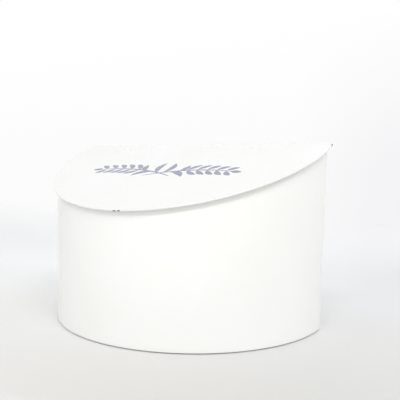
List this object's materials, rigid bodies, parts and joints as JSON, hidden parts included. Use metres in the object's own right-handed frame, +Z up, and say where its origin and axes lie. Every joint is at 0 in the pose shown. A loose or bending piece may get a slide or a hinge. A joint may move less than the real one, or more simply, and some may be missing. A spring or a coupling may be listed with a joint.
{
  "type": "bread bin",
  "caption": "Half-round white enamelled steel bread bin with a flat back and a sloping lid that hinges up at the back.",
  "frame": {"origin": "on the surface that the bin stands on, under the middle of the closed bin's box", "axes": "+Z up, +X to the right as seen from the front, +Y towards the flat back and the hinges"},
  "size_m": [0.4096, 0.2117, 0.2536],
  "materials": {
    "body_enamel": "gloss white vitreous enamel",
    "lid_enamel": "gloss white vitreous enamel",
    "hinge_steel": "zinc plated, satin",
    "wire_steel": "drawn, dull",
    "foot_rubber": "matt grey"
  },
  "bodies": {
    "bin": {"front_wall": "body_enamel", "back_panel": "body_enamel", "base_pan": "body_enamel", "wall_rim_wire": "wire_steel", "foot_front_left": "foot_rubber", "foot_front_right": "foot_rubber", "foot_rear_left": "foot_rubber", "foot_rear_right": "foot_rubber", "left_backing_plate": "hinge_steel", "left_body_leaf": "hinge_steel", "left_hinge_pin": "hinge_steel", "left_body_rivet_1": "hinge_steel", "left_body_rivet_2": "hinge_steel", "left_body_rivet_3": "hinge_steel", "right_backing_plate": "hinge_steel", "right_body_leaf": "hinge_steel", "right_hinge_pin": "hinge_steel", "right_body_rivet_1": "hinge_steel", "right_body_rivet_2": "hinge_steel", "right_body_rivet_3": "hinge_steel"},
    "lid": {"lid_panel": "lid_enamel", "lid_rim_wire": "wire_steel", "left_lid_leaf": "hinge_steel", "left_lid_rivet_1": "lid_enamel", "left_lid_rivet_2": "lid_enamel", "left_lid_rivet_3": "lid_enamel", "right_lid_leaf": "hinge_steel", "right_lid_rivet_1": "lid_enamel", "right_lid_rivet_2": "lid_enamel", "right_lid_rivet_3": "lid_enamel"}
  },
  "joints": [
    {"name": "lid_hinge", "type": "hinge", "parent": "bin", "child": "lid", "pos_m": [0, 0.10249, 0.24971], "axis": [-1, 0, 0], "range_deg": [0, 120]}
  ]
}
